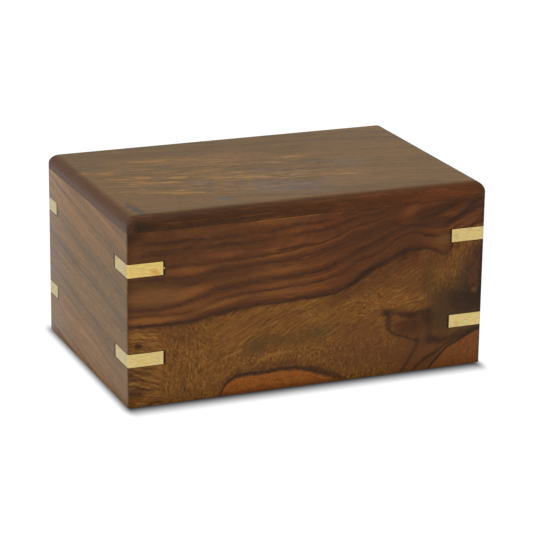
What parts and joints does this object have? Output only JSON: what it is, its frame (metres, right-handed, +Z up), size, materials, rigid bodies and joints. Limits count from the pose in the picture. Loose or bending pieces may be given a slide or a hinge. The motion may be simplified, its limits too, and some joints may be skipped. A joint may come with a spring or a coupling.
{
  "type": "rosewood box urn",
  "caption": "Rectangular rosewood pet urn with a round-edged top, flush brass keys across its upright corners and a screwed-on base board.",
  "frame": {"origin": "centre of the underside, on the surface that the urn stands on", "axes": "+X along the length, +Z up, front face towards -Y"},
  "size_m": [0.1506, 0.0998, 0.0762],
  "materials": {
    "rosewood_wall": "satin oiled rosewood with dark wavy stripes and a golden curly patch",
    "rosewood_top": "satin oiled rosewood, straight grain along the length",
    "rosewood_base": "plain sanded rosewood, thinly oiled",
    "brass_key": "flat-sanded brass, fine scratches along each leg",
    "brass_screw": "turned brass with a slotted head, slightly dulled"
  },
  "bodies": {
    "root": {"front_wall": "rosewood_wall", "back_wall": "rosewood_wall", "left_wall": "rosewood_wall", "right_wall": "rosewood_wall", "top_board": "rosewood_top", "bottom_board": "rosewood_base", "key_front_left_lower": "brass_key", "key_front_left_upper": "brass_key", "key_front_right_lower": "brass_key", "key_front_right_upper": "brass_key", "key_back_left_lower": "brass_key", "key_back_left_upper": "brass_key", "key_back_right_lower": "brass_key", "key_back_right_upper": "brass_key", "screw_front_left": "brass_screw", "screw_front_right": "brass_screw", "screw_back_left": "brass_screw", "screw_back_right": "brass_screw"}
  },
  "joints": []
}
